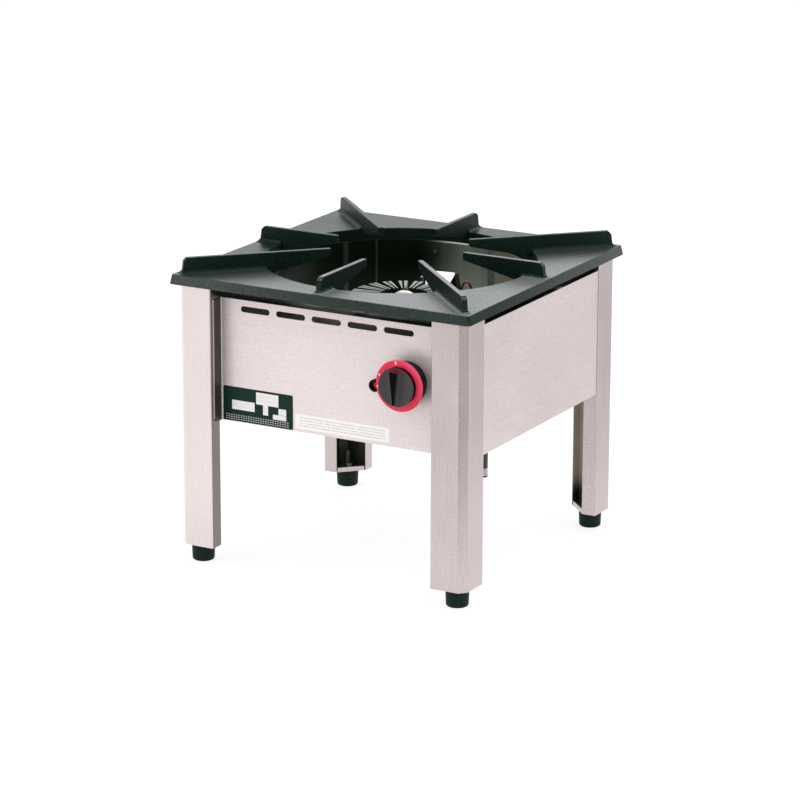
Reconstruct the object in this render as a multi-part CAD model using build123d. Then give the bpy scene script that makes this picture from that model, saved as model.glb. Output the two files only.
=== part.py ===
from build123d import *
import math
import os

os.makedirs("parts", exist_ok=True)

# Stock pot range, millimetres. X runs along the front, -Y is the front, Z is up.
# The origin is on the floor under the middle of the cast top.

# ---- driving dimensions ----
# cast top with its fins
top_width = 550.0        # lower edge of the skirt, the same both ways
top_level = 486.0        # flat upper face of the casting
skirt_height = 15.5
skirt_draft = 3.7        # the upper edge stands in by this much
skirt_wall = 7.0
top_thick = 9.0
top_corner = 8.0
top_edge_round = 2.0
hole_rim = 50.5          # lower edge of the skirt to the hole, at the middle of a side
hole_edge_round = 1.5
collar_depth = 15.0      # collar under the hole, outside the flame ring
collar_wall = 5.0
fin_rise = 26.5
fin_thick = 9.0
fin_tip_radius = 118.0
fin_tip_height = 12.0
fin_end_lean = 3.0
fin_end_bevel = 5.5
fin_edge_round = 1.4
fin_foot = 2.5           # each of the two steps of the casting fillet
corner_fin_setback = 22.9   # from the corner of the skirt
side_fin_setback = 9.0
fin_root = 6.0           # overlap of a fin with the plate
fin_count = 8

# legs, folded from sheet
leg_inset = 10.7         # lower edge of the skirt to a leg's outer face
leg_face = 62.3
leg_flange = 25.0
leg_bevel = 12.0
leg_sheet = 1.5
leg_bend = 2.6
leg_bottom = 30.0
seat_gap = 0.3           # clearance under pieces that lift off or travel
cap_sheet = 2.0
cap_lip = 8.0

# levelling feet
foot_inset = 26.8        # outer face of the leg to the middle of the foot
foot_top_radius = 19.4
foot_base_radius = 18.2
foot_round = 4.0
stem_radius = 5.0
stem_bury = 20.0         # length of the stem inside the foot
stem_top = 62.0
stem_clearance = 0.3
nut_flats = 17.0
nut_height = 8.0

# sheet panels
panel_sheet = 1.2
panel_bend = 1.8
panel_bottom = 243.5
side_panel_drop = 21.0   # underside of the top to the panel's upper edge
side_panel_inset = 1.5   # behind the leg's outer face
front_panel_drop = 28.0
front_recess = 30.3      # front panel behind the legs' front faces
panel_flange = 24.0
panel_return = 18.0
panel_side_gap = 0.2
flange_corner = 12.0
rear_rail_height = 48.0

# vents of the front panel
vent_count = 5
vent_length = 54.0
vent_height = 10.0
vent_pitch = 66.0
vent_offset = -4.0
vent_drop = 15.0         # upper edge of the panel to the middle of the vents

# flame ring round the burner
ring_setback = 11.5      # edge of the hole to the inside of the ring
ring_sheet = 1.0
ring_drop = 8.0          # underside of the top to the ring's upper edge
ring_height = 91.0
ring_window_start = 93.5  # degrees about the burner, from the right-hand side
ring_window_end = 107.5
ring_window_sill = 6.0
ring_window_height = 32.0
seam_angle = 72.2        # the rolled sheet laps over its own end here
seam_gap = 10.0
seam_lap = 28.0
bracket_angle = 13.0
bracket_width = 20.0
bracket_sheet = 1.5
bracket_drop = 19.0      # ring's upper edge to the middle of a bracket's tab
bracket_tab = 14.0
rivet_radius = 2.0
rivet_head = 3.6

# rails that carry the burner and the flame ring
rail_setback = 13.0      # inside the burner's rim to the middle of each rail
rail_width = 30.0
rail_depth = 14.0
rail_sheet = 1.5
rail_bend = 2.0

# burner
burner_x = 7.4           # the burner stands to the right of the middle
burner_radius = 90.0
burner_bore = 40.0
burner_wall = 4.0
burner_stand = 2.0       # above the rails
burner_depth = 28.0
crown_plate = 5.0
crown_height = 21.0      # seat of the crown to the top of its fingers
crown_spigot = 6.0
crown_turn = 12.5        # degrees from the right-hand side to the first finger
finger_count = 20
finger_wide = 16.4
finger_narrow = 6.2
finger_groove = 3.6
finger_groove_depth = 12.0
finger_end_round = 3.0
hub_radius = 20.0
hub_bore = 14.0
hub_rise = 10.0          # above the seat of the crown
hub_drop = 23.0          # below the line of the mixing tube
arm_width = 14.0
arm_lift = 4.0           # above the floor of the trough
arm_height = 16.0
lug_x = 62.0
lug_width = 20.0
lug_thick = 8.0
lug_overhang = 11.0
cap_radius = 20.4
cap_rim = 6.7
cap_dome = 9.0
cap_neck = 12.0
cap_port = 3.0
bolt_radius = 3.0
bolt_clearance = 0.3
bolt_flats = 10.0
bolt_head = 4.0
bolt_nut = 5.0

# mixing tube, air shutter and jet
tube_drop = 33.0         # top of the rails to the line of the tube
mouth_setback = 67.8     # back of the front panel to the front of the tube
mouth_length = 37.0
mouth_wall = 5.0
mouth_radius = 20.0
mouth_bore = 16.5
throat_length = 20.0
throat_radius = 15.0
throat_bore = 11.0
tube_end_radius = 18.0
air_window_inset = 11.0
air_window_length = 18.0
air_window_angle = 80.0
shutter_clearance = 0.3
shutter_wall = 1.6
shutter_edge = 3.0
shutter_tab = 9.0
holder_flats = 19.0
holder_length = 15.0
holder_spigot = 7.0
jet_flats = 10.0
jet_length = 13.0
jet_bore = 1.4

# gas valve and knob
valve_inset = 57.0       # inner edge of the leg to the knob's axis
valve_drop = 94.0        # upper edge of the front panel to the knob's axis
valve_flange_thick = 4.0
valve_flange_long = 54.0
valve_flange_high = 30.0
valve_barrel_radius = 16.0
valve_barrel_depth = 42.8   # this and the next depths are behind the back of the panel
safety_radius = 12.5
safety_length = 38.0
safety_nut_flats = 20.0
safety_nut = 6.0
port_depth = 24.8
inlet_port_drop = 10.0   # below the knob's axis
inlet_reach = 33.0
inlet_radius = 12.0
outlet_reach = 26.0      # the outlet points down
outlet_radius = 8.0
pilot_port_depth = 56.8
pilot_port_reach = 21.0
pilot_port_radius = 5.0
spindle_radius = 4.0
spindle_clearance = 0.3
spindle_depth = 16.8
push_travel = 3.5
push_rod_length = 9.0
push_rod_gap = 0.3
bezel_depth = 27.0
bezel_base_radius = 34.0
bezel_front_radius = 41.0
bezel_wall = 2.5
bezel_floor = 3.0
bezel_spindle_hole = 7.0
dial_radius = 42.0
dial_bore = 30.0
dial_thick = 3.0
dial_fall = 1.2          # the dial's face is slightly conical
knob_radius = 32.0
knob_back_radius = 24.8  # the skirt narrows to the back
knob_stand = 12.0        # rim of the knob in front of the dial
knob_skirt = 20.0
knob_wall = 2.4
knob_crest = 8.0         # the grip in front of the rim
grip_half = 3.8
grip_lean = 6.2          # degrees that each side of the grip leans to the pointer end
grip_scoop = 1.6
knob_hub = 7.5
panel_screw_radius = 2.0
panel_screw_gap = 0.15
panel_screw_head = 3.6
panel_screw_offset = 19.0

# piezo igniter
igniter_spacing = 57.5   # knob's axis to the igniter's
igniter_drop = 13.0
igniter_collar = 10.0
igniter_stand = 8.0
igniter_barrel = 8.2
igniter_barrel_depth = 52.8
igniter_hole_gap = 0.3
igniter_bore = 6.2
igniter_bore_depth = 16.0
igniter_nut_flats = 23.0
igniter_nut = 5.0
button_gap = 0.35
button_sink = 6.0
button_length = 6.6
terminal_radius = 3.0
terminal_length = 8.0

# pilot group beside the burner
pilot_offset = 7.0       # back of the rear rail to the line of the electrode, probe and pilot
pilot_sheet = 1.5
pilot_left = -28.0
pilot_right = 64.0
pilot_plate_drop = 12.0  # this and the next heights are from the top of the rails
pilot_shelf_rise = 21.5
pilot_shelf_reach = 18.0
electrode_x = -12.8
electrode_radius = 3.4
electrode_drop = 2.0
electrode_length = 47.0
electrode_rise = 11.6    # spark wire above the ceramic
electrode_wire = 1.1
electrode_reach = 7.0
probe_x = 20.0
probe_radius = 3.0
probe_rise = 4.0
probe_length = 48.0
pilot_x = 47.0
pilot_radius = 5.0
pilot_rise = 6.0
pilot_length = 34.0
pilot_inlet_radius = 2.8
hood_left = 36.5
hood_right = 57.0
hood_tip = 51.0
hood_wall = 21.5
hood_roof = 25.0
hood_setback = 7.0
hood_depth = 13.0
hood_sheet = 1.0

# pipes and leads
feed_radius = 5.0
feed_bend = 16.0
feed_drop = 38.0         # igniter's axis to the run below it
feed_nut_flats = 17.0
feed_nut_length = 9.0
inlet_pipe_radius = 10.65
inlet_bend = 24.0
inlet_offset = 3.8       # inner edge of the leg to the pipe's axis
inlet_y = -100.0
inlet_hang = 55.5        # below the lower edge of the panels
inlet_thread_radius = 10.4775   # G 1/2 male thread
inlet_thread_length = 15.0
inlet_bore = 6.5
pilot_pipe_radius = 1.9
probe_lead_radius = 1.5
spark_lead_radius = 1.8
comb_sheet = 1.2
comb_hole_gap = 0.8
lead_drop = 31.0         # top of the rails to the runs of the leads
comb_height = 34.0
comb_left = 25.5         # beyond the igniter's axis
comb_right = 7.0         # beyond the knob's axis
comb_overlap = 10.0

# ---- places worked out from them ----
leg_half = top_width / 2 - leg_inset
leg_inner = leg_half - leg_face
foot_place = leg_half - foot_inset
side_face = leg_half - side_panel_inset
front_y = -leg_half + front_recess
panel_back_y = front_y + panel_sheet
top_underside = top_level - top_thick
leg_top = top_underside - seat_gap
fin_top = top_level + fin_rise
cap_top = leg_bottom + cap_sheet
hole_radius = top_width / 2 - hole_rim
corner_fin_reach = top_width / math.sqrt(2) - corner_fin_setback
side_fin_reach = top_width / 2 - side_fin_setback
front_panel_top = top_underside - front_panel_drop
side_panel_top = top_underside - side_panel_drop
vent_level = front_panel_top - vent_drop
ring_radius = hole_radius - ring_setback
ring_top = top_underside - ring_drop
ring_bottom = ring_top - ring_height
ring_window_bottom = ring_bottom + ring_window_sill
bracket_level = ring_top - bracket_drop
rail_top = ring_bottom
rail_offset = burner_radius - rail_setback
burner_floor = rail_top + burner_stand
burner_seat = burner_floor + burner_depth
crown_top = burner_seat + crown_height
hub_top = burner_seat + hub_rise
tube_level = rail_top - tube_drop
mouth_front = panel_back_y + mouth_setback
mouth_back = mouth_front + mouth_length
throat_y = mouth_back + throat_length
air_window_start = mouth_front + air_window_inset
air_window_end = air_window_start + air_window_length
valve_x = leg_inner - valve_inset
valve_z = front_panel_top - valve_drop
valve_barrel_end = panel_back_y + valve_barrel_depth
safety_end = valve_barrel_end + safety_length
port_y = panel_back_y + port_depth
pilot_port_y = panel_back_y + pilot_port_depth
inlet_port_z = valve_z - inlet_port_drop
spindle_end = panel_back_y + spindle_depth
dial_front = front_y - bezel_depth - dial_thick
knob_rim = dial_front - knob_stand
knob_back = knob_rim + knob_skirt
igniter_x = valve_x - igniter_spacing
igniter_z = valve_z - igniter_drop
igniter_front = front_y - igniter_stand
igniter_end = panel_back_y + igniter_barrel_depth
pilot_plate_y = rail_offset + rail_width / 2 + pilot_offset
pilot_shelf = rail_top + pilot_shelf_rise
electrode_bottom = rail_top - electrode_drop
electrode_top = electrode_bottom + electrode_length
probe_bottom = rail_top + probe_rise
pilot_bottom = rail_top + pilot_rise
pilot_inlet_start = (pilot_x + 4, pilot_plate_y, pilot_shelf + 5.5)
pilot_inlet_end = (hood_right + 2.6, pilot_plate_y, pilot_shelf + 18.1)
feed_level = igniter_z - feed_drop
feed_end_y = mouth_front - holder_length - feed_nut_length - feed_bend
inlet_x = leg_inner + inlet_offset
inlet_end = panel_bottom - inlet_hang
lead_level = rail_top - lead_drop
corners = {
    "front_left": (-1, -1),
    "front_right": (1, -1),
    "rear_left": (-1, 1),
    "rear_right": (1, 1),
}


def save(name, *solids):
    shape = solids[0] if len(solids) == 1 else Compound(children=list(solids))
    export_step(shape, f"parts/{name}.step")


def rod(radius, start, end):
    """Round bar between two points."""
    a, b = Vector(*start), Vector(*end)
    return extrude(Plane(origin=a, z_dir=b - a) * Circle(radius), amount=(b - a).length)


def hex_bar(flats, start, end):
    """Hexagonal bar between two points, from its width across flats."""
    a, b = Vector(*start), Vector(*end)
    section = Plane(origin=a, z_dir=b - a) * RegularPolygon(flats / 2, 6, major_radius=False)
    return extrude(section, amount=(b - a).length)


def along_y(x, z):
    """Plane of a profile turned about a line along Y: its first axis is the radius, its second is Y."""
    return Plane(origin=(x, 0, z), x_dir=(1, 0, 0), z_dir=(0, 0, -1))


def turned_y(points, x, z):
    """Solid turned about a line along Y through (x, z), from (radius, y) points."""
    profile = along_y(x, z) * Polygon(*[(r, -y) for r, y in points], align=None)
    return revolve(profile, Axis((x, 0, z), (0, 1, 0)), 360)


def turned_z(points, x=0.0, y=0.0):
    """Solid turned about an upright line through (x, y), from (radius, z) points."""
    profile = Plane.XZ * Polygon(*points, align=None)
    return Pos(x, y, 0) * revolve(profile, Axis.Z, 360)


def even_radii(points):
    """Bend radii of a route: 0.45 of the shorter run over the tangent of half the turn."""
    radii = []
    for before, here, after in zip(points, points[1:], points[2:]):
        run_in = Vector(*here) - Vector(*before)
        run_out = Vector(*after) - Vector(*here)
        turn = math.radians(run_in.get_angle(run_out))
        radii.append(0.45 * min(run_in.length, run_out.length) / math.tan(turn / 2))
    return radii


def tube(points, radius, bend=None, bore=0.0):
    """Pipe or lead along straight runs joined by arcs."""
    radii = even_radii(points) if bend is None else [bend] * (len(points) - 2)
    path = FilletPolyline(*points, radius=radii)
    section = Plane(origin=path @ 0, z_dir=path % 0) * Circle(radius)
    body = sweep(section, path=path)
    if bore:
        body -= sweep(Plane(origin=path @ 0, z_dir=path % 0) * Circle(bore), path=path)
    print(f"  route {path.length:.0f} mm, bends {[round(r, 1) for r in radii]}")
    return body


# ---- cast top: plate, skirt and eight fins in one casting ----
def fin(reach):
    """One fin along +X: flat top, bevelled outer end and an underside that rises to the tip."""
    outline = Polygon(
        (hole_radius + fin_root, top_underside),
        (reach, top_underside),
        (reach, top_level),
        (reach - fin_end_lean, fin_top - fin_end_bevel),
        (reach - fin_end_lean - fin_end_bevel, fin_top),
        (fin_tip_radius, fin_top),
        (fin_tip_radius, fin_top - fin_tip_height),
        (hole_radius, top_underside),
        align=None,
    )
    blade = extrude(Plane.XZ * outline, amount=fin_thick / 2, both=True)
    crest = blade.edges().filter_by(Axis.X).group_by(Axis.Z)[-1]
    tip = blade.faces().sort_by(Axis.X)[0].edges()
    blade = fillet(crest + tip, fin_edge_round)
    foot_length = reach - hole_radius
    foot_base = top_level
    grow = 2 * fin_foot
    foot = None
    for taper in (58.0, 28.0):
        length = foot_length + grow
        width = fin_thick + 2 * grow
        start = Pos(hole_radius + length / 2, 0, foot_base) * Rectangle(length, width)
        step = extrude(start, amount=fin_foot, taper=taper)
        foot = step if foot is None else foot + step
        foot_base += fin_foot
        grow -= fin_foot * math.tan(math.radians(taper))
        grow = max(grow, 0.6 * fin_foot)
    return blade + foot


def cast_top():
    taper = math.degrees(math.atan(skirt_draft / skirt_height))
    outline = RectangleRounded(top_width, top_width, top_corner)
    base = Pos(0, 0, top_level - skirt_height)
    body = extrude(base * outline, amount=skirt_height, taper=taper)
    body = fillet(body.faces().sort_by(Axis.Z)[-1].outer_wire().edges(), top_edge_round)
    hollow = RectangleRounded(top_width - 2 * skirt_wall, top_width - 2 * skirt_wall, top_corner / 2)
    body -= extrude(base * hollow, amount=skirt_height - top_thick, taper=taper)
    body -= Pos(0, 0, top_level) * Cylinder(hole_radius, 4 * top_thick)
    circles = body.edges().filter_by(GeomType.CIRCLE)
    hole_edges = circles.filter_by(lambda e: abs(e.radius - hole_radius) < 0.01)
    body = fillet(hole_edges.sort_by(Axis.Z)[-1], hole_edge_round)
    collar = Circle(hole_radius + collar_wall) - Circle(hole_radius)
    body += Pos(0, 0, top_underside - collar_depth) * extrude(collar, amount=collar_depth)
    corner_fin = fin(corner_fin_reach)
    side_fin = fin(side_fin_reach)
    for i in range(fin_count):
        blade = corner_fin if i % 2 else side_fin
        body += Rot(0, 0, i * 360 / fin_count) * blade
    return body


save("pan_support", cast_top())


# ---- legs, their base plates and the levelling feet ----
def leg_outline():
    """Outside of a folded leg from above, its corner at the origin and +X, +Y pointing inwards."""
    outer = Polygon(
        (leg_bevel, 0),
        (leg_face, 0),
        (leg_face, leg_face),
        (0, leg_face),
        (0, leg_bevel),
        align=None,
    )
    return fillet(outer.vertices(), leg_bend)


def leg_section():
    """Folded sheet of a leg: two faces, the bevel and two flanges, open at the inner corner."""
    outer = leg_outline()
    wall = outer - offset(outer, amount=-leg_sheet)
    open_side = leg_face - leg_flange + leg_sheet
    middle = leg_flange + open_side / 2
    return wall - Pos(middle, middle) * Rectangle(open_side, open_side)


def base_plate():
    """Plate in the foot of a leg, cut across the open corner, with an upturned lip there."""
    inner = leg_face - leg_sheet
    cut = Polygon((0, 0), (leg_face, 0), (inner, leg_flange), (leg_flange, inner), (0, leg_face), align=None)
    plate = extrude(offset(leg_outline(), amount=-leg_sheet) & cut, amount=cap_sheet)
    middle = (inner + leg_flange) / 2
    lip_length = math.hypot(inner - leg_flange, inner - leg_flange) - 2 * leg_sheet
    lip = Box(lip_length, cap_sheet, cap_lip, align=(Align.CENTER, Align.MAX, Align.MIN))
    plate += Pos(middle, middle, 0) * Rot(0, 0, -45) * lip
    hole = Cylinder(stem_radius + stem_clearance, 4 * cap_sheet)
    return plate - Pos(foot_inset, foot_inset, 0) * hole


def at_corner(shape, sx, sy):
    """Moves a piece drawn at the front left corner to the corner (sx, sy)."""
    shape = Pos(-leg_half, -leg_half, 0) * shape
    if sx > 0:
        shape = mirror(shape, about=Plane.YZ)
    if sy > 0:
        shape = mirror(shape, about=Plane.XZ)
    return shape


def foot():
    """Moulded foot, slightly tapered, with a rounded lower edge and a socket for its stem."""
    height = leg_bottom - seat_gap
    cone = Cone(foot_base_radius, foot_top_radius, height, align=(Align.CENTER, Align.CENTER, Align.MIN))
    cone = fillet(cone.edges().sort_by(Axis.Z)[0], foot_round)
    cone = chamfer(cone.edges().sort_by(Axis.Z)[-1], 0.8)
    return cone - rod(stem_radius, (0, 0, height - stem_bury), (0, 0, height))


def foot_stem():
    height = leg_bottom - seat_gap
    stem = rod(stem_radius, (0, 0, height - stem_bury), (0, 0, stem_top))
    return chamfer(stem.edges().sort_by(Axis.Z)[-1], 1.0)


leg = Pos(0, 0, leg_bottom) * extrude(leg_section(), amount=leg_top - leg_bottom)
for corner, (sx, sy) in corners.items():
    place = Pos(sx * foot_place, sy * foot_place, 0)
    save(f"leg_{corner}", at_corner(leg, sx, sy))
    save(f"leg_base_{corner}", at_corner(Pos(0, 0, leg_bottom) * base_plate(), sx, sy))
    save(f"foot_{corner}", place * foot())
    save(f"foot_stem_{corner}", place * foot_stem())

foot_nut = hex_bar(nut_flats, (0, 0, cap_top), (0, 0, cap_top + nut_height))
foot_nut -= rod(stem_radius + stem_clearance, (0, 0, cap_top - 1), (0, 0, cap_top + nut_height + 1))
foot_nut = foot_nut & turned_z([
    (0, cap_top),
    (nut_flats / 2, cap_top),
    (nut_flats / 2 + 1.2, cap_top + 1.0),
    (nut_flats / 2 + 1.2, cap_top + nut_height - 1.0),
    (nut_flats / 2, cap_top + nut_height),
    (0, cap_top + nut_height),
])
save("foot_nuts", *[Pos(sx * foot_place, sy * foot_place, 0) * foot_nut for sx, sy in corners.values()])


# ---- sheet panels ----
def folded(points, sheet, bend, length, plane):
    """Sheet folded along an open line of points and extruded."""
    line = FilletPolyline(*points, radius=bend)
    return extrude(plane * trace(line, line_width=sheet), amount=length, both=True)


def front_panel():
    """Front panel: side flanges folded forwards against the legs, upper and lower edges folded back."""
    half = leg_inner - panel_side_gap - panel_sheet / 2
    face = front_y + panel_sheet / 2
    flange_end = front_y - panel_flange
    height = front_panel_top - panel_bottom
    level = Pos(0, 0, (front_panel_top + panel_bottom) / 2)
    points = [(-half, flange_end), (-half, face), (half, face), (half, flange_end)]
    panel = level * folded(points, panel_sheet, panel_bend, height / 2, Plane.XY)
    corner_edges = panel.edges().filter_by(Axis.X).filter_by(
        lambda e: e.center().Y < flange_end + 1 and e.center().Z < panel_bottom + 1
    )
    panel = fillet(corner_edges, flange_corner)
    inner = half - panel_bend - panel_sheet
    for edge, way in ((front_panel_top, -1), (panel_bottom, 1)):
        turn = edge + way * panel_sheet / 2
        points = [(face, edge + way * 3 * panel_sheet), (face, turn), (face + panel_return, turn)]
        panel += folded(points, panel_sheet, panel_sheet, inner, Plane.YZ)
    vents = [
        Pos(vent_offset + (i - (vent_count - 1) / 2) * vent_pitch, vent_level)
        * SlotOverall(vent_length, vent_height)
        for i in range(vent_count)
    ]
    cutter = Plane(origin=(0, front_y + 2 * panel_sheet, 0), x_dir=(1, 0, 0), z_dir=(0, -1, 0))
    for vent in vents:
        panel -= extrude(cutter * vent, amount=4 * panel_sheet)
    holes = [(valve_x, valve_z, spindle_radius + 2)]
    screw_hole = panel_screw_radius + panel_screw_gap
    holes += [(valve_x, valve_z + s * panel_screw_offset, screw_hole) for s in (-1, 1)]
    holes += [(igniter_x, igniter_z, igniter_barrel + igniter_hole_gap)]
    for x, z, radius in holes:
        panel -= rod(radius, (x, front_y - panel_sheet, z), (x, front_y + 2 * panel_sheet, z))
    return panel


def edge_panel(bottom, top):
    """Panel between two legs, drawn at the right-hand side: all four edges folded inwards."""
    half = leg_inner - panel_side_gap - panel_sheet / 2
    face = side_face - panel_sheet / 2
    level = Pos(0, 0, (top + bottom) / 2)
    points = [(face - panel_flange, -half), (face, -half), (face, half), (face - panel_flange, half)]
    panel = level * folded(points, panel_sheet, panel_bend, (top - bottom) / 2, Plane.XY)
    inner = half - panel_bend - panel_sheet
    for edge, way in ((top, -1), (bottom, 1)):
        turn = edge + way * panel_sheet / 2
        points = [(face, edge + way * 3 * panel_sheet), (face, turn), (face - panel_return, turn)]
        panel += folded(points, panel_sheet, panel_sheet, inner, Plane.XZ)
    return panel


side_panel = edge_panel(panel_bottom, side_panel_top)
save("front_panel", front_panel())
save("right_panel", side_panel)
save("left_panel", mirror(side_panel, about=Plane.YZ))
save("rear_rail", Rot(0, 0, 90) * edge_panel(side_panel_top - rear_rail_height, side_panel_top))


# ---- rails that carry the burner, from side panel to side panel ----
def burner_rail(side):
    """Channel with its web on top; the burner's lugs are bolted through the web."""
    web = rail_top - rail_sheet / 2
    half = (rail_width - rail_sheet) / 2
    points = [(-half, rail_top - rail_depth), (-half, web), (half, web), (half, rail_top - rail_depth)]
    length = side_face - panel_sheet
    rail = folded(points, rail_sheet, rail_bend, length, Plane.YZ)
    for s in (-1, 1):
        x = burner_x + s * lug_x
        rail -= rod(bolt_radius + bolt_clearance, (x, 0, rail_top - 4), (x, 0, rail_top + 1))
    return Pos(0, side * rail_offset, 0) * rail


save("burner_rail_front", burner_rail(-1))
save("burner_rail_rear", burner_rail(1))


# ---- flame ring: rolled sheet with a lapped seam and a window, hung on four brackets ----
def ring_sector(start, end, bottom, height):
    """Wedge that reaches through the ring's wall between two angles."""
    reach = ring_radius * 1.2
    points = [(0, 0)]
    for angle in (math.radians(start), math.radians(end)):
        points.append((reach * math.cos(angle), reach * math.sin(angle)))
    return Pos(0, 0, bottom) * extrude(Polygon(*points, align=None), amount=height)


def ring_wall(inner):
    """One layer of the ring's sheet."""
    return Pos(0, 0, ring_bottom) * extrude(Circle(inner + ring_sheet) - Circle(inner), amount=ring_height)


def flame_ring():
    """Rolled sheet; one end is stepped outwards and laps behind the other, short of it by the seam's gap."""
    gap = math.degrees(seam_gap / ring_radius)
    lap = math.degrees(seam_lap / ring_radius)
    wall = ring_wall(ring_radius)
    wall -= ring_sector(seam_angle, seam_angle + gap, ring_bottom, ring_height)
    wall += ring_wall(ring_radius + ring_sheet) & ring_sector(
        seam_angle - (lap - gap) / 2, seam_angle + (lap + gap) / 2, ring_bottom, ring_height
    )
    wall -= ring_sector(ring_window_start, ring_window_end, ring_window_bottom, ring_window_height)
    for i in range(4):
        wall -= bracket_turn(i) * ring_rivet_hole()
    return wall


def bracket_turn(i):
    return Rot(0, 0, bracket_angle + 90 * i)


def ring_rivet_hole():
    return rod(rivet_radius, (ring_radius - 2, 0, bracket_level), (ring_radius + 4, 0, bracket_level))


def ring_bracket():
    """Strip from the ring to the panel, with a tab at each end. Drawn square to the panel."""
    start = ring_radius + ring_sheet
    angle = math.radians(bracket_angle)
    face = side_face - panel_sheet
    reach = face / math.cos(angle) + bracket_width * math.tan(angle)
    points = [
        (start + bracket_sheet / 2, bracket_level - bracket_tab / 2),
        (start + bracket_sheet / 2, bracket_level + bracket_tab / 2),
        (reach, bracket_level + bracket_tab / 2),
    ]
    strip = folded(points, bracket_sheet, bracket_sheet, bracket_width / 2, Plane.XZ)
    strip -= ring_rivet_hole()
    return strip - Pos(0, 0, bracket_level) * Cylinder(start, 4 * bracket_tab)


def hung_bracket(i):
    """Bracket turned to its place and cut off flush with the inside of its panel."""
    face = side_face - panel_sheet
    limit = face if i < 3 else -panel_back_y
    depth = face + limit
    inside = Pos(0, (face - limit) / 2, bracket_level) * Box(2 * face, depth, 4 * bracket_tab)
    return (bracket_turn(i) * ring_bracket()) & inside


def rivet():
    """Rivet through the ring's wall and the bracket's tab, its head on the inside."""
    inside = ring_radius - 0.1
    outside = ring_radius + ring_sheet + bracket_sheet
    shank = rod(rivet_radius, (inside, 0, bracket_level), (outside, 0, bracket_level))
    head = Pos(inside, 0, bracket_level) * Sphere(rivet_head)
    half = Box(rivet_head / 2, 2 * rivet_head, 2 * rivet_head)
    head &= Pos(inside - rivet_head / 4, 0, bracket_level) * half
    return shank + head


save("flame_ring", flame_ring())
save("ring_brackets", *[hung_bracket(i) for i in range(4)])
save("ring_rivets", *[bracket_turn(i) * rivet() for i in range(4)])


# ---- burner: cast body with its mixing tube ----
def air_windows(radius):
    """Two side windows of the mixing tube's mouth, cut by wedges about the tube's line."""
    cut = None
    half = math.radians(air_window_angle / 2)
    reach = 1.5 * radius
    for side in (0.0, math.pi):
        points = [(0, 0)]
        for angle in (side - half, side + half):
            points.append((reach * math.cos(angle), reach * math.sin(angle)))
        plane = Plane(origin=(0, air_window_end, tube_level), x_dir=(1, 0, 0), z_dir=(0, -1, 0))
        wedge = extrude(plane * Polygon(*points, align=None), amount=air_window_end - air_window_start)
        cut = wedge if cut is None else cut + wedge
    return cut


def burner_body():
    outer, wall = burner_radius, burner_wall
    trough = turned_z([
        (burner_bore, burner_seat),
        (burner_bore, burner_floor + 9),
        (burner_bore + 8, burner_floor),
        (outer - 9, burner_floor),
        (outer, burner_floor + 14),
        (outer, burner_seat),
        (outer - wall, burner_seat),
        (outer - wall, burner_floor + 15),
        (outer - 11, burner_floor + wall),
        (burner_bore + 10, burner_floor + wall),
        (burner_bore + wall, burner_floor + 11),
        (burner_bore + wall, burner_seat),
    ])
    body = trough
    arm = Box(burner_bore + wall - hub_bore, arm_width, arm_height)
    arm = fillet(arm.edges().filter_by(Axis.X), 4)
    for i in range(4):
        place = Pos((burner_bore + wall + hub_bore) / 2 + 1, 0, burner_floor + arm_lift + arm_height / 2)
        body += Rot(0, 0, 45 + 90 * i) * place * arm
    for sx, sy in corners.values():
        lug_end = rail_offset + lug_overhang
        lug = Box(lug_width, lug_end - burner_bore, lug_thick, align=(Align.CENTER, Align.MAX, Align.MIN))
        lug = fillet(lug.edges().filter_by(Axis.Z).group_by(Axis.Y)[-1], lug_width / 2 - 1)
        lug = Pos(sx * lug_x, 0, rail_top) * mirror_to(Pos(0, lug_end, 0) * lug, sy)
        body += lug - Pos(0, 0, rail_top) * Cylinder(outer - 6, 4 * lug_thick)
    for sx, sy in corners.values():
        x, y = sx * lug_x, sy * rail_offset
        body -= rod(bolt_radius + bolt_clearance, (x, y, rail_top - 1), (x, y, rail_top + 12))
    tube_skin = turned_y([
        (0, mouth_front),
        (mouth_radius, mouth_front),
        (mouth_radius, mouth_back),
        (throat_radius, throat_y),
        (tube_end_radius, -hub_radius / 2),
        (0, -hub_radius / 2),
    ], 0, tube_level)
    hub_bottom = tube_level - hub_drop
    hub = turned_z([
        (0, hub_bottom),
        (hub_radius - 4, hub_bottom),
        (hub_radius, hub_bottom + 4),
        (hub_radius, hub_top - 2),
        (hub_radius - 2, hub_top),
        (0, hub_top),
    ])
    body += hub + tube_skin
    body -= rod(hub_bore, (0, 0, hub_bottom + wall + 2), (0, 0, hub_top + 1))
    body -= turned_y([
        (0, mouth_front + mouth_wall),
        (mouth_bore, mouth_front + mouth_wall),
        (mouth_bore, mouth_back - 2),
        (throat_bore, throat_y),
        (hub_bore - 1, 0),
        (0, 0),
    ], 0, tube_level)
    wall_end = mouth_front + mouth_wall + 1
    body -= rod(holder_spigot + 0.7, (0, mouth_front - 1, tube_level), (0, wall_end, tube_level))
    return body - air_windows(mouth_radius)


def mirror_to(shape, sy):
    return shape if sy > 0 else mirror(shape, about=Plane.XZ)


def finger():
    """One finger of the crown along +X: two bars that widen outwards, with a groove between them."""
    inner = burner_bore
    outer = burner_radius
    plan = Polygon(
        (inner, -finger_narrow / 2),
        (outer, -finger_wide / 2),
        (outer, finger_wide / 2),
        (inner, finger_narrow / 2),
        align=None,
    )
    base = burner_seat + crown_plate / 2
    bars = Pos(0, 0, base) * extrude(plan, amount=crown_top - base)
    ends = bars.edges().filter_by(Axis.Y).group_by(Axis.Z)[-1]
    bars = fillet(ends.sort_by(Axis.X)[-1:], finger_end_round)
    groove = Box(2 * outer, finger_groove, 2 * finger_groove_depth)
    return bars - Pos(outer, 0, crown_top) * groove


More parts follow.
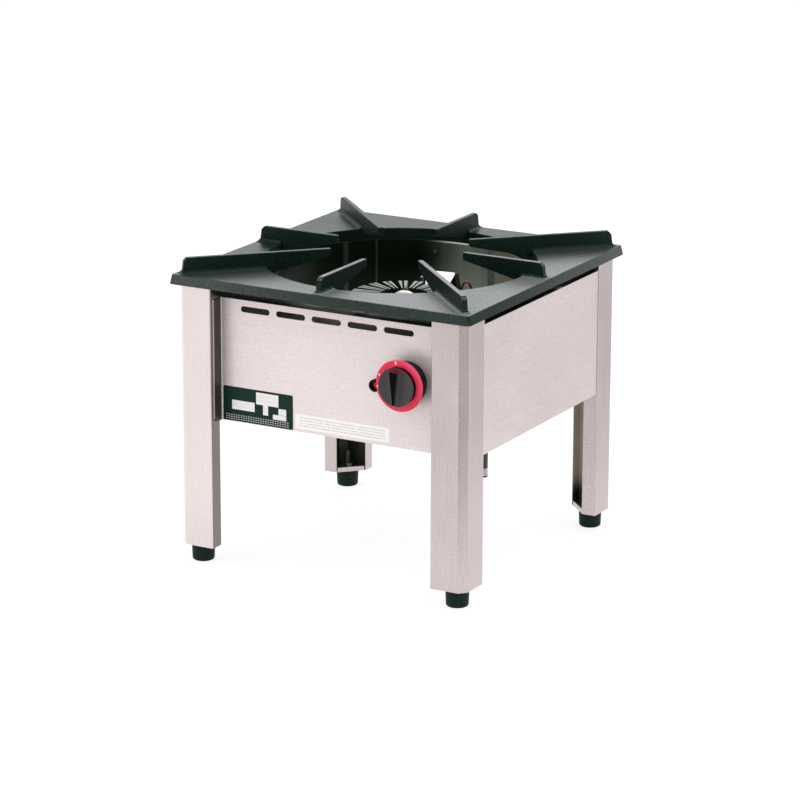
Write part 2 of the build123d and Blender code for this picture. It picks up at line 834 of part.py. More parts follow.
def burner_crown():
    """Lift-off crown: a flat ring with spigots into the trough and radial double-bar fingers."""
    seat = burner_seat + seat_gap
    disc = Circle(burner_radius) - Circle(burner_bore)
    ring = Pos(0, 0, seat) * extrude(disc, amount=crown_plate - seat_gap)
    outer_spigot = burner_radius - burner_wall - seat_gap
    spigot = extrude(Circle(outer_spigot) - Circle(outer_spigot - 3), amount=crown_spigot)
    ring += Pos(0, 0, seat - crown_spigot) * spigot
    bars = finger()
    for i in range(finger_count):
        ring += Rot(0, 0, crown_turn + i * 360 / finger_count) * bars
    limits = turned_z([
        (burner_bore, seat - 2 * crown_spigot),
        (burner_radius, seat - 2 * crown_spigot),
        (burner_radius, crown_top + 1),
        (burner_bore, crown_top + 1),
    ])
    return ring & limits


def burner_cap():
    """Domed cap of the middle flame, with a ported neck that drops into the hub."""
    seat = hub_top + seat_gap
    dome_radius = (cap_radius ** 2 + cap_dome ** 2) / (2 * cap_dome)
    rim = seat + cap_rim
    dome = Pos(0, 0, rim + cap_dome - dome_radius) * Sphere(dome_radius)
    keep = Pos(0, 0, rim) * Cylinder(cap_radius, 2 * cap_dome, align=(Align.CENTER, Align.CENTER, Align.MIN))
    cap = rod(cap_radius, (0, 0, seat), (0, 0, rim)) + (dome & keep)
    neck = hub_bore - 0.5
    cap += rod(neck, (0, 0, seat - cap_neck), (0, 0, seat))
    cap -= rod(neck - 3, (0, 0, seat - cap_neck - 1), (0, 0, seat))
    for i in range(4):
        port = rod(cap_port / 2, (-2 * neck, 0, seat - cap_neck / 2), (2 * neck, 0, seat - cap_neck / 2))
        cap -= Rot(0, 0, 22.5 + 45 * i) * port
    return cap


def lug_bolt(x, y):
    head = rail_top + lug_thick
    bolt = rod(bolt_radius, (x, y, rail_top - rail_depth + 4), (x, y, head))
    return bolt + hex_bar(bolt_flats, (x, y, head), (x, y, head + bolt_head))


def lug_nut(x, y):
    web = rail_top - rail_sheet
    nut = hex_bar(bolt_flats, (x, y, web - bolt_nut), (x, y, web))
    return nut - rod(bolt_radius, (x, y, web - bolt_nut - 1), (x, y, web + 1))


lug_places = [(burner_x + sx * lug_x, sy * rail_offset) for sx, sy in corners.values()]
burner_place = Pos(burner_x, 0, 0)
save("burner_body", burner_place * burner_body())
save("burner_crown", burner_place * burner_crown())
save("burner_cap", burner_place * burner_cap())
save("burner_bolts", *[lug_bolt(x, y) for x, y in lug_places])
save("burner_nuts", *[lug_nut(x, y) for x, y in lug_places])


# ---- air shutter and jet ----
def air_shutter():
    """Sleeve that turns on the mouth of the mixing tube and covers its side windows."""
    inner = mouth_radius + shutter_clearance
    outer = inner + shutter_wall
    front = air_window_start - shutter_edge
    back = air_window_end + shutter_edge
    sleeve = rod(outer, (0, front, tube_level), (0, back, tube_level))
    tab = Box(6, back - front - 6, shutter_tab, align=(Align.CENTER, Align.CENTER, Align.MAX))
    tab = fillet(tab.edges().filter_by(Axis.X).group_by(Axis.Z)[0], 3)
    sleeve += Pos(0, (front + back) / 2, tube_level - outer + 0.6) * tab
    sleeve -= rod(inner, (0, front - 1, tube_level), (0, back + 1, tube_level))
    return sleeve - air_windows(outer)


def jet_holder():
    """Hexagonal holder screwed into the end wall of the mixing tube."""
    front = mouth_front - holder_length
    back = mouth_front + mouth_wall
    holder = hex_bar(holder_flats, (0, front, tube_level), (0, mouth_front, tube_level))
    holder += rod(holder_spigot + 0.7, (0, mouth_front, tube_level), (0, back + 2, tube_level))
    return holder - rod(3, (0, front - 1, tube_level), (0, back + 3, tube_level))


def jet():
    """Gas jet with a conical nose, in the middle of the tube's mouth."""
    start = mouth_front + mouth_wall + 2
    nose = start + jet_length
    body = hex_bar(jet_flats, (0, start, tube_level), (0, nose - 5, tube_level))
    body += turned_y([(0, nose - 5), (4.2, nose - 5), (2.2, nose), (0, nose)], 0, tube_level)
    return body - rod(jet_bore, (0, start - 1, tube_level), (0, nose + 1, tube_level))


save("air_shutter", burner_place * air_shutter())
save("jet_holder", burner_place * jet_holder())
save("gas_jet", burner_place * jet())


# ---- gas valve, spindle, knob and bezel ----
def valve_body():
    flange_back = panel_back_y + valve_flange_thick
    plate = Plane(origin=(valve_x, flange_back, valve_z), x_dir=(1, 0, 0), z_dir=(0, -1, 0))
    outline = RectangleRounded(valve_flange_high, valve_flange_long, valve_flange_high / 3)
    body = extrude(plate * outline, amount=valve_flange_thick)
    body += rod(valve_barrel_radius, (valve_x, flange_back, valve_z), (valve_x, valve_barrel_end, valve_z))
    body += rod(safety_radius, (valve_x, valve_barrel_end, valve_z), (valve_x, safety_end, valve_z))
    nut_end = safety_end + safety_nut
    body += hex_bar(safety_nut_flats, (valve_x, safety_end, valve_z), (valve_x, nut_end, valve_z))
    inlet_port = (valve_x, port_y, inlet_port_z)
    body += rod(inlet_radius, inlet_port, (valve_x + inlet_reach, port_y, inlet_port_z))
    body += rod(outlet_radius, (valve_x, port_y, valve_z), (valve_x, port_y, valve_z - outlet_reach))
    pilot_end = valve_x - pilot_port_reach
    body += rod(pilot_port_radius, (valve_x, pilot_port_y, valve_z), (pilot_end, pilot_port_y, valve_z))
    depth = spindle_end + push_rod_gap + push_rod_length + push_travel + 1
    bore = spindle_radius + spindle_clearance
    body -= rod(bore, (valve_x, panel_back_y - 1, valve_z), (valve_x, depth, valve_z))
    for s in (-1, 1):
        z = valve_z + s * panel_screw_offset
        body -= rod(panel_screw_radius, (valve_x, panel_back_y - 1, z), (valve_x, flange_back + 1, z))
    return body


def bezel():
    """Black housing behind the dial: a floor on the panel and a wall that flares to the front."""
    y0, y1 = front_y, front_y - bezel_depth
    housing = turned_y([
        (bezel_spindle_hole, y0),
        (bezel_base_radius, y0),
        (bezel_front_radius, y1),
        (bezel_front_radius - bezel_wall, y1),
        (bezel_base_radius - bezel_wall, y0 - bezel_floor),
        (bezel_spindle_hole, y0 - bezel_floor),
    ], valve_x, valve_z)
    for s in (-1, 1):
        z = valve_z + s * panel_screw_offset
        radius = panel_screw_radius + panel_screw_gap
        housing -= rod(radius, (valve_x, y0 + 1, z), (valve_x, y0 - bezel_floor - 1, z))
    return housing


def dial():
    """Red dial ring on the front edge of the bezel."""
    back = front_y - bezel_depth
    return turned_y([
        (dial_bore, back),
        (dial_radius - 0.8, back),
        (dial_radius, back - 0.8),
        (dial_radius, dial_front + dial_fall),
        (dial_radius - 0.8, dial_front + dial_fall - 0.5),
        (dial_bore + 0.8, dial_front),
        (dial_bore, dial_front + 0.8),
    ], valve_x, valve_z)


def knob():
    """Knob with a wedge-shaped grip left standing between two scooped sides."""
    crest = knob_rim - knob_crest
    skin = turned_y([
        (0, crest),
        (knob_radius - 5, crest),
        (knob_radius - 1.5, knob_rim),
        (knob_radius, knob_rim + 2),
        (knob_back_radius, knob_back),
        (0, knob_back),
    ], valve_x, valve_z)
    scoop = Polygon(
        (grip_half, crest - 1),
        (grip_half + 1.2, knob_rim - 3),
        (grip_half + 4.5, knob_rim + grip_scoop),
        (grip_half + 12, knob_rim + grip_scoop),
        (knob_radius + 2, knob_rim - grip_scoop / 2),
        (knob_radius + 2, crest - 1),
        align=None,
    )
    scoop = fillet(scoop.vertices().sort_by(Axis.Y)[-2:], 2.4)
    cutter = extrude(scoop, amount=1.5 * knob_radius, both=True)
    for side in (1, -1):
        turned = Rot(0, side * grip_lean, 0) * (cutter if side > 0 else mirror(cutter, about=Plane.YZ))
        skin -= Pos(valve_x, 0, valve_z) * turned
    grip_edges = skin.edges().filter_by(lambda e: abs(e.center().Y - crest) < 0.1)
    skin = fillet(grip_edges, 0.8)
    hollow_front = knob_rim + grip_scoop + knob_wall + 1
    hollow = turned_y([
        (knob_hub, hollow_front),
        (knob_radius - 2 * knob_wall, hollow_front),
        (knob_back_radius - knob_wall, knob_back),
        (knob_back_radius - knob_wall, knob_back + 1),
        (knob_hub, knob_back + 1),
    ], valve_x, valve_z)
    skin -= hollow
    return skin - rod(spindle_radius, (valve_x, knob_rim + 2, valve_z), (valve_x, knob_back + 1, valve_z))


def screws():
    """Two screws that clamp the bezel and the valve to the panel, under the knob."""
    seat = front_y - bezel_floor
    end = panel_back_y + valve_flange_thick
    pieces = []
    for s in (-1, 1):
        z = valve_z + s * panel_screw_offset
        screw = rod(panel_screw_radius, (valve_x, seat, z), (valve_x, end, z))
        head = turned_y([
            (0, seat),
            (panel_screw_head, seat),
            (panel_screw_head, seat - 1.2),
            (panel_screw_head - 1.2, seat - 2.2),
            (0, seat - 2.2),
        ], valve_x, z)
        slot = Pos(valve_x, seat - 2.2, z) * Box(2 * panel_screw_head, 1.6, 0.9)
        pieces.append(screw + head - slot)
    return pieces


spindle = rod(spindle_radius, (valve_x, knob_rim + 2, valve_z), (valve_x, spindle_end, valve_z))
rod_start = spindle_end + push_rod_gap
rod_stop = rod_start + push_rod_length
push_rod = rod(spindle_radius, (valve_x, rod_start, valve_z), (valve_x, rod_stop, valve_z))
save("gas_valve_body", valve_body())
save("valve_push_rod", push_rod)
save("valve_spindle", spindle)
save("control_knob", knob())
save("knob_bezel", bezel())
save("knob_dial", dial())
save("valve_screws", *screws())


# ---- piezo igniter ----
def igniter_body():
    front = igniter_front
    body = turned_y([
        (0, igniter_end),
        (igniter_barrel, igniter_end),
        (igniter_barrel, front_y),
        (igniter_collar, front_y),
        (igniter_collar, front + 1),
        (igniter_collar - 1, front),
        (igniter_bore, front),
        (igniter_bore, front + igniter_bore_depth),
        (0, front + igniter_bore_depth),
    ], igniter_x, igniter_z)
    terminal_end = igniter_end + terminal_length
    body += rod(terminal_radius, (igniter_x, igniter_end, igniter_z), (igniter_x, terminal_end, igniter_z))
    return body


def igniter_button():
    face = igniter_front + button_sink
    radius = igniter_bore - button_gap
    back = face + button_length
    return turned_y([
        (0, face - 0.6),
        (radius - 1.2, face - 0.2),
        (radius, face + 0.8),
        (radius, back),
        (0, back),
    ], igniter_x, igniter_z)


igniter_nut_end = panel_back_y + igniter_nut
nut_face = (igniter_x, panel_back_y, igniter_z)
nut = hex_bar(igniter_nut_flats, nut_face, (igniter_x, igniter_nut_end, igniter_z))
nut -= rod(
    igniter_barrel,
    (igniter_x, panel_back_y - 1, igniter_z),
    (igniter_x, igniter_nut_end + 1, igniter_z),
)
save("igniter_body", igniter_body())
save("igniter_button", igniter_button())
save("igniter_nut", nut)


# ---- pilot group on the rear rail ----
def pilot_bracket():
    """Plate on the back of the rear rail with a shelf that holds the electrode, probe and pilot."""
    plate_y = rail_offset + rail_width / 2 + pilot_sheet / 2
    shelf = pilot_shelf - pilot_sheet / 2
    middle = (pilot_left + pilot_right) / 2
    points = [
        (plate_y, rail_top - pilot_plate_drop),
        (plate_y, shelf),
        (plate_y + pilot_shelf_reach, shelf),
    ]
    half = (pilot_right - pilot_left) / 2
    bracket = Pos(middle, 0, 0) * folded(points, pilot_sheet, pilot_sheet, half, Plane.YZ)
    for x, radius in ((electrode_x, electrode_radius), (probe_x, probe_radius), (pilot_x, pilot_radius)):
        bracket -= rod(radius, (x, pilot_plate_y, shelf - 3), (x, pilot_plate_y, shelf + 3))
    return bracket


def electrode():
    x, y = electrode_x, pilot_plate_y
    return turned_z([
        (0, electrode_bottom),
        (electrode_radius, electrode_bottom),
        (electrode_radius, electrode_top - 2),
        (electrode_radius - 1.2, electrode_top),
        (0, electrode_top),
    ], x, y)


def electrode_tip():
    """Spark wire out of the ceramic, bent over towards the burner."""
    x, y = electrode_x, pilot_plate_y
    level = electrode_top + electrode_rise
    points = [(x, y, electrode_top), (x, y, level), (x, y - electrode_reach, level)]
    return tube(points, electrode_wire, bend=2.4)


def probe():
    x, y = probe_x, pilot_plate_y
    probe_top = probe_bottom + probe_length
    return turned_z([
        (0, probe_bottom),
        (probe_radius, probe_bottom),
        (probe_radius, probe_top - 10),
        (probe_radius - 0.8, probe_top - 9),
        (probe_radius - 0.8, probe_top - 1.5),
        (probe_radius - 2, probe_top),
        (0, probe_top),
    ], x, y)


def pilot_burner():
    x, y = pilot_x, pilot_plate_y
    pilot_top = pilot_bottom + pilot_length
    body = turned_z([
        (0, pilot_bottom),
        (pilot_radius, pilot_bottom),
        (pilot_radius, pilot_top - 6),
        (pilot_radius - 1.5, pilot_top),
        (0, pilot_top),
    ], x, y)
    return body + rod(pilot_inlet_radius, pilot_inlet_start, pilot_inlet_end)


def pilot_hood():
    """Folded sheet hood, open to the burner, with a back and a steep roof."""
    eaves = pilot_shelf + hood_wall
    outline = Polygon(
        (hood_left, pilot_shelf),
        (hood_right, pilot_shelf),
        (hood_right, eaves),
        (hood_tip, eaves + hood_roof),
        (hood_left, eaves),
        align=None,
    )
    inside = offset(outline, amount=-hood_sheet) + Pos(
        (hood_left + hood_right) / 2, pilot_shelf
    ) * Rectangle(hood_right - hood_left - 2 * hood_sheet, 4 * hood_sheet)
    back = Plane(origin=(0, pilot_plate_y + hood_setback, 0), x_dir=(1, 0, 0), z_dir=(0, -1, 0))
    hood = extrude(back * outline, amount=hood_depth)
    hood -= extrude(back.offset(hood_sheet) * inside, amount=hood_depth)
    return hood - rod(pilot_inlet_radius + 0.1, pilot_inlet_start, pilot_inlet_end)


save("pilot_bracket", pilot_bracket())
save("spark_electrode", electrode())
save("spark_tip", electrode_tip())
save("flame_probe", probe())
save("pilot_burner", pilot_burner())
save("pilot_hood", pilot_hood())


# ---- pipes and leads ----
def feed_pipe():
    """Pipe from the valve's outlet, down and across under the igniter and up to the jet's holder."""
    points = [
        (valve_x, port_y, valve_z - outlet_reach),
        (valve_x, port_y, feed_level),
        (burner_x, feed_end_y, feed_level),
        (burner_x, feed_end_y, tube_level),
        (burner_x, mouth_front - holder_length, tube_level),
    ]
    return tube(points, feed_radius, bend=feed_bend, bore=3.0)


def feed_nuts():
    """Compression nuts at the two ends of the feed pipe."""
    outlet = valve_z - outlet_reach
    holder = mouth_front - holder_length
    pieces = []
    for end, way in (((valve_x, port_y, outlet), (0, 0, -1)), ((burner_x, holder, tube_level), (0, -1, 0))):
        far = tuple(e + feed_nut_length * w for e, w in zip(end, way))
        piece = hex_bar(feed_nut_flats, end, far) - rod(feed_radius, end, far)
        pieces.append(piece)
    return pieces


def inlet_pipe():
    points = [
        (valve_x + inlet_reach, port_y, inlet_port_z),
        (inlet_x, port_y, inlet_port_z),
        (inlet_x, inlet_y, inlet_port_z),
        (inlet_x, inlet_y, inlet_end),
    ]
    return tube(points, inlet_pipe_radius, bend=inlet_bend, bore=inlet_bore)


def inlet_nipple():
    """Threaded end that the supply hose is screwed to, with its thread left plain."""
    low = inlet_end - inlet_thread_length
    nipple = rod(inlet_thread_radius, (inlet_x, inlet_y, low), (inlet_x, inlet_y, inlet_end))
    return nipple - rod(inlet_bore, (inlet_x, inlet_y, low - 1), (inlet_x, inlet_y, inlet_end + 1))


pilot_pipe_route = [
    pilot_inlet_end,
    (hood_right + 13.8, pilot_plate_y, pilot_shelf + 44),
    (hood_right + 26.5, pilot_plate_y + 6, pilot_shelf + 8.5),
    (hood_right + 26, pilot_plate_y + 10, lead_level + 3),
    (96, 20, lead_level),
    (valve_x - 45, -100, lead_level + 3),
    (valve_x - 45, pilot_port_y, valve_z),
    (valve_x - pilot_port_reach, pilot_port_y, valve_z),
]
probe_lead_route = [
    (valve_x, safety_end + safety_nut, valve_z),
    (valve_x, -100, valve_z),
    (valve_x - 15, -20, lead_level - 3),
    (84, 52, lead_level - 8),
    (probe_x, pilot_plate_y + 2, lead_level - 5),
    (probe_x, pilot_plate_y, probe_bottom - 18),
    (probe_x, pilot_plate_y, probe_bottom),
]
spark_lead_route = [
    (igniter_x, igniter_end + terminal_length, igniter_z),
    (igniter_x, -140, igniter_z),
    (igniter_x - 13.5, -60, lead_level + 2),
    (58, 30, lead_level),
    (electrode_x, pilot_plate_y - 2, lead_level + 1),
    (electrode_x, pilot_plate_y, electrode_bottom - 16),
    (electrode_x, pilot_plate_y, electrode_bottom),
]


def lead_comb():
    """Plate on the front rail whose holes keep the pilot pipe and the two leads apart."""
    face = -rail_offset - rail_width / 2
    top = rail_top - rail_depth + comb_overlap
    left = igniter_x - comb_left
    width = valve_x + comb_right - left
    plate = Box(width, comb_sheet, comb_height, align=(Align.MIN, Align.MAX, Align.MAX))
    plate = Pos(left, face, top) * fillet(plate.edges().filter_by(Axis.Y), 3)
    holes = (
        (pilot_pipe_route, pilot_pipe_radius),
        (probe_lead_route, probe_lead_radius),
        (spark_lead_route, spark_lead_radius),
    )
    for route, radius in holes:
        x, z = crossing_at(route, face - comb_sheet / 2)
        plate -= rod(radius + comb_hole_gap, (x, face - 4, z), (x, face + 4, z))
    return plate


def crossing_at(route, y):
    """Where the run of a route that spans y crosses it."""
    for a, b in zip(route, route[1:]):
        if (a[1] - y) * (b[1] - y) <= 0:
            share = (y - a[1]) / (b[1] - a[1])
            return (a[0] + share * (b[0] - a[0]), a[2] + share * (b[2] - a[2]))
    raise ValueError("the route doesn't cross the comb")


save("feed_pipe", feed_pipe())
save("feed_nuts", *feed_nuts())
save("inlet_pipe", inlet_pipe())
save("inlet_nipple", inlet_nipple())
save("pilot_pipe", tube(pilot_pipe_route, pilot_pipe_radius))
save("probe_lead", tube(probe_lead_route, probe_lead_radius))
save("spark_lead", tube(spark_lead_route, spark_lead_radius))
save("lead_comb", lead_comb())
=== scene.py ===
import math
import bmesh
import bpy
from mathutils import Matrix, Vector


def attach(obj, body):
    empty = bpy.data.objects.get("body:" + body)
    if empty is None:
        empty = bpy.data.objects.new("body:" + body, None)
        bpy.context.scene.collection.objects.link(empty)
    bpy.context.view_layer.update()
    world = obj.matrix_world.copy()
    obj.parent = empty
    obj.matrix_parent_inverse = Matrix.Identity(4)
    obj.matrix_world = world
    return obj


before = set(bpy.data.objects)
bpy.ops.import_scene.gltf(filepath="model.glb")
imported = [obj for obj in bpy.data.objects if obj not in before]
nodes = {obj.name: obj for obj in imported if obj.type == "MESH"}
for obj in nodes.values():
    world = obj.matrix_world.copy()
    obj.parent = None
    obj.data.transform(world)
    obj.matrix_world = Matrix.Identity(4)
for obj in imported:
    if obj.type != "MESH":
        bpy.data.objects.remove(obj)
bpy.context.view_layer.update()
print("frame loaded,", len(nodes), "pieces")

# The camera stands where the photo was taken from.
cameraPlace = {"spot": (2.78794, -5.00246, 1.88572), "azimuth": 29.131, "elevation": 15.974,
               "roll": 0.152, "lens": 161.89, "sensor": 36.0, "reach": 60.0}


def placeCamera(place):
    data = bpy.data.cameras.new("camera")
    data.sensor_width = place["sensor"]
    data.lens = place["lens"]
    data.clip_end = place["reach"]
    camera = bpy.data.objects.new("camera", data)
    bpy.context.scene.collection.objects.link(camera)
    turn = Matrix.Rotation(math.radians(place["azimuth"]), 4, "Z")
    lean = Matrix.Rotation(math.radians(90.0 - place["elevation"]), 4, "X")
    roll = Matrix.Rotation(math.radians(place["roll"]), 4, "Z")
    camera.matrix_world = Matrix.Translation(place["spot"]) @ turn @ lean @ roll
    bpy.context.scene.camera = camera


placeCamera(cameraPlace)
print("camera placed")


# One socket of a node tree. Python's operators on it add Math nodes.
class Signal:
    def __init__(self, graph, socket):
        self.graph = graph
        self.socket = socket

    def maths(self, kind, *others):
        return self.graph.node("ShaderNodeMath", [self, *others], operation=kind)

    def after(self, kind, first):
        return self.graph.node("ShaderNodeMath", [first, self], operation=kind)

    def __add__(self, other):
        return self.maths("ADD", other)

    def __radd__(self, other):
        return self.after("ADD", other)

    def __sub__(self, other):
        return self.maths("SUBTRACT", other)

    def __rsub__(self, other):
        return self.after("SUBTRACT", other)

    def __mul__(self, other):
        return self.maths("MULTIPLY", other)

    def __rmul__(self, other):
        return self.after("MULTIPLY", other)

    def __truediv__(self, other):
        return self.maths("DIVIDE", other)

    def __rtruediv__(self, other):
        return self.after("DIVIDE", other)

    def __pow__(self, other):
        return self.maths("POWER", other)

    def __rpow__(self, other):
        return self.after("POWER", other)

    def __abs__(self):
        return self.maths("ABSOLUTE")

    # Rises softly from 0 to 1 between two values.
    def fade(self, low, high):
        return self.graph.node("ShaderNodeMapRange", {0: self, 1: low, 2: high, 3: 0.0, 4: 1.0},
                               interpolation_type="SMOOTHSTEP")

    # Falls softly from 1 to 0 between two values.
    def fall(self, low, high):
        return 1.0 - self.fade(low, high)

    # A noise turned into a change of up to half the amount, either way.
    def sway(self, amount):
        return (self - 0.5) * amount


def most(first, *others):
    for other in others:
        first = first.maths("MAXIMUM", other)
    return first


def distance(across, up):
    return (across * across + up * up) ** 0.5


class Graph:
    def __init__(self, tree):
        self.tree = tree

    def join(self, value, socket):
        if isinstance(value, Signal):
            self.tree.links.new(value.socket, socket)
        elif socket.type == "RGBA":
            socket.default_value = (*value, 1.0)
        else:
            socket.default_value = value

    def node(self, kind, inputs=(), output=0, **settings):
        made = self.tree.nodes.new(kind)
        for key, value in settings.items():
            setattr(made, key, value)
        pairs = inputs.items() if isinstance(inputs, dict) else enumerate(inputs)
        for key, value in pairs:
            self.join(value, made.inputs[key])
        return Signal(self, made.outputs[output])


# A material's node tree, with the place on the piece in metres.
class Finish(Graph):
    def __init__(self, name):
        self.material = bpy.data.materials.new(name)
        self.material.use_nodes = True
        super().__init__(self.material.node_tree)
        self.shader = self.tree.nodes["Principled BSDF"]
        self.output = self.tree.nodes["Material Output"]
        self.spot = self.node("ShaderNodeTexCoord", output="Object")
        axes = self.node("ShaderNodeSeparateXYZ", [self.spot]).socket.node
        self.x, self.y, self.z = [Signal(self, s) for s in axes.outputs]

    def upward(self):
        facing = self.node("ShaderNodeNewGeometry", output="Normal")
        return self.node("ShaderNodeSeparateXYZ", [facing], output="Z").fade(0.55, 0.95)

    def mix(self, share, low, high):
        return self.node("ShaderNodeMix", {0: share, 6: low, 7: high}, output=2, data_type="RGBA")

    def noise(self, scale, detail=2.0, stretch=(1, 1, 1), rough=0.5, shift=(0, 0, 0)):
        place = self.node("ShaderNodeMapping", {0: self.spot, 1: shift, 3: stretch})
        return self.node("ShaderNodeTexNoise", {"Vector": place, "Scale": scale, "Detail": detail,
                                                "Roughness": rough}, output="Fac")

    def bump(self, height, depth):
        return self.node("ShaderNodeBump", {"Height": height, "Distance": depth, "Strength": 1.0})

    def finish(self, colour, rough, normal=None, metal=0.0, gloss=0.5, tint=(1.0, 1.0, 1.0)):
        values = {"Base Color": colour, "Roughness": rough, "Metallic": metal,
                  "Specular IOR Level": gloss, "Specular Tint": tint}
        for key, value in values.items():
            self.join(value, self.shader.inputs[key])
        if normal is not None:
            self.join(normal, self.shader.inputs["Normal"])
        return self.material


def dress(material, *names):
    for name in names:
        slots = nodes[name].data.materials
        for i in range(len(slots)):
            slots[i] = material
        if not len(slots):
            slots.append(material)


# Enamelled cast iron, a nearly black green. Level faces towards the front right carry a painted grey sheen,
# and the skirt of the cast top a painted highlight, most at the left of its front and the rear of its right
# side.
enamelLook = {"dark": (0.0006, 0.0040, 0.0026), "pale": (0.0070, 0.0200, 0.0140), "rough": 0.42,
              "grain": 400.0, "depth": 0.00034, "gloss": 0.15,
              "sheen": {"colour": (0.146, 0.154, 0.156), "level": (-0.05, 0.28),
                       "skirt": (0.2712, 0.2714), "front": (-0.26, 0.05), "frontShares": (0.35, 0.15),
                       "right": (-0.24, 0.30), "rightShare": 0.42}}
# The tops of the burner crown's fingers are paler grey.
crownLook = {"dark": (0.003, 0.007, 0.005), "pale": (0.009, 0.014, 0.012), "rough": 0.34,
             "grain": 900.0, "depth": 0.00010, "gloss": 0.3,
             "paleTop": (0.30, 0.31, 0.29), "paleTopFrom": (0.4280, 0.4287)}
castLook = {"dark": (0.008, 0.010, 0.009), "pale": (0.028, 0.026, 0.022), "rough": 0.62,
            "grain": 520.0, "depth": 0.0004, "gloss": 0.3}
# The three castings share the tint of their reflections and the scales of their larger patches. The
# scales of the coarse grain and of the pits are shares of the piece's own grain.
castSkin = {"tint": (0.66, 1.0, 0.88), "cloud": 9.0, "swell": 60.0, "coarse": 0.5, "pits": 0.32}


# Paints a grey sheen on level faces towards the front right and a highlight on the skirt of the cast top.
def paintSheen(g, colour, fleck, sheen):
    level = g.upward() * (g.x - g.y).fade(*sheen["level"]) * (fleck * 0.95 + 0.50)
    colour = g.mix(level, colour, sheen["colour"])
    near, far = sheen["skirt"]
    strong, weak = sheen["frontShares"]
    front = g.y.fall(-far, -near) * (strong - g.x.fade(*sheen["front"]) * (strong - weak))
    right = g.x.fade(near, far) * g.y.fade(*sheen["right"]) * sheen["rightShare"]
    return g.mix((front + right) * (fleck * 0.5 + 0.75), colour, sheen["colour"])


def castEnamel(name, look):
    g = Finish(name)
    cloud = g.noise(castSkin["cloud"], detail=3.0)
    speck = g.noise(look["grain"])
    coarse = g.noise(look["grain"] * castSkin["coarse"], detail=3.0, rough=0.8)
    pits = g.noise(look["grain"] * castSkin["pits"], detail=1.0).fade(0.60, 0.78)
    fleck = (speck * 0.5 + coarse * 0.5).fade(0.34, 0.66)
    colour = g.mix(fleck * 0.8 + cloud.fade(0.3, 0.7) * 0.2, look["dark"], look["pale"])
    if "sheen" in look:
        colour = paintSheen(g, colour, fleck, look["sheen"])
    if "paleTop" in look:
        colour = g.mix(g.z.fade(*look["paleTopFrom"]) * (0.55 + cloud * 0.6), colour, look["paleTop"])
    rough = look["rough"] + cloud.sway(0.10) + speck.sway(0.14)
    skin = speck * 0.8 + g.noise(castSkin["swell"]) * 1.2 - pits * 0.4
    return g.finish(colour, rough, g.bump(skin, look["depth"]), gloss=look["gloss"], tint=castSkin["tint"])


dress(castEnamel("cast_enamel", enamelLook), "pan_support")
dress(castEnamel("crown_enamel", crownLook), "burner_crown")
dress(castEnamel("burner_casting", castLook), "burner_body")
print("cast pieces dressed")

# Stainless sheet, brushed along one axis. Three of the legs, and the foot plates, are painted darker than the
# fourth as shade, and haze is the share of a sheet that scatters light as paint does.
litLegLook = {"low": (0.68, 0.600, 0.588), "high": (0.87, 0.778, 0.764), "rough": 0.36, "along": "Z",
                 "haze": 0.0}
shadedLegLook = {"low": (0.50, 0.432, 0.425), "high": (0.72, 0.630, 0.620), "rough": 0.38, "along": "Z",
               "haze": 0.0}
frontLook = {"low": (0.716, 0.627, 0.627), "high": (0.876, 0.784, 0.783), "rough": 0.42, "along": "X",
             "haze": 0.5}
sideLook = {"low": (0.700, 0.607, 0.600), "high": (0.900, 0.800, 0.790), "rough": 0.34, "along": "Y",
            "haze": 0.0}
brushing = {"streak": 900.0, "fine": 2600.0, "smudge": 6.0, "speck": 420.0, "squash": 0.012,
            "depth": 0.00002}

# The faces turned inwards are painted dark as shade, and one leg's inside is partly painted light. Each pair
# holds the two places between which a mask changes.
insideShade = {"tint": (0.095, 0.105, 0.085), "edge": (0.25, 0.215, 0.205), "flange": (0.048, 0.050, 0.042),
              "panel": (0.026, 0.033, 0.023), "lit": (0.62, 0.57, 0.49), "litHaze": 0.8, "rough": 0.25,
              "front": (-0.2335, -0.2333), "face": (-0.2352, -0.2346), "bend": (-0.2568, -0.2558),
              "side": (0.2618, 0.2620), "rear": (0.2618, 0.2620), "leg": (0.2632, 0.2634),
              "legBevel": (0.5154, 0.5156), "legFlange": (0.2024, 0.2027), "middle": (0.0, 0.1),
              "litUp": (0.045, 0.085)}


def brushedSheet(name, look, inside=None):
    g = Finish(name)
    squash = tuple(brushing["squash"] if axis == look["along"] else 1.0 for axis in "XYZ")
    streak = g.noise(brushing["streak"], detail=3.0, stretch=squash)
    fine = g.noise(brushing["fine"], detail=1.0, stretch=squash, shift=(3, 5, 7))
    smudge = g.noise(brushing["smudge"], detail=4.0)
    speck = g.noise(brushing["speck"])
    share = streak * 0.25 + smudge * 0.25 + speck * 0.5
    colour = g.mix(share.fade(0.30, 0.70), look["low"], look["high"])
    rough = look["rough"] + streak.sway(0.12) + smudge.sway(0.08)
    metal = 1.0 - look["haze"]
    if inside is not None:
        colour, hidden, lit = inside(g, colour)
        rough = rough + hidden * insideShade["rough"]
        metal = metal * (1.0 - lit * insideShade["litHaze"])
    return g.finish(colour, rough, g.bump(streak * 0.7 + fine * 0.3, brushing["depth"]), metal=metal)


# Painted shade: the inner faces of the front sheet, rear rail and side panels are dark, and so are the front
# sheet's flanges.
def behindFront(g, colour):
    hidden = g.y.fade(*insideShade["front"])
    flange = g.y.fade(*insideShade["bend"]) * g.y.fall(*insideShade["face"])
    colour = g.mix(hidden, colour, insideShade["tint"])
    return g.mix(flange, colour, insideShade["flange"]), hidden, 0.0


def behindSide(g, colour):
    hidden = abs(g.x).fall(*insideShade["side"])
    return g.mix(hidden, colour, insideShade["panel"]), hidden, 0.0


def behindRear(g, colour):
    hidden = g.y.fall(*insideShade["rear"])
    return g.mix(hidden, colour, insideShade["tint"]), hidden, 0.0
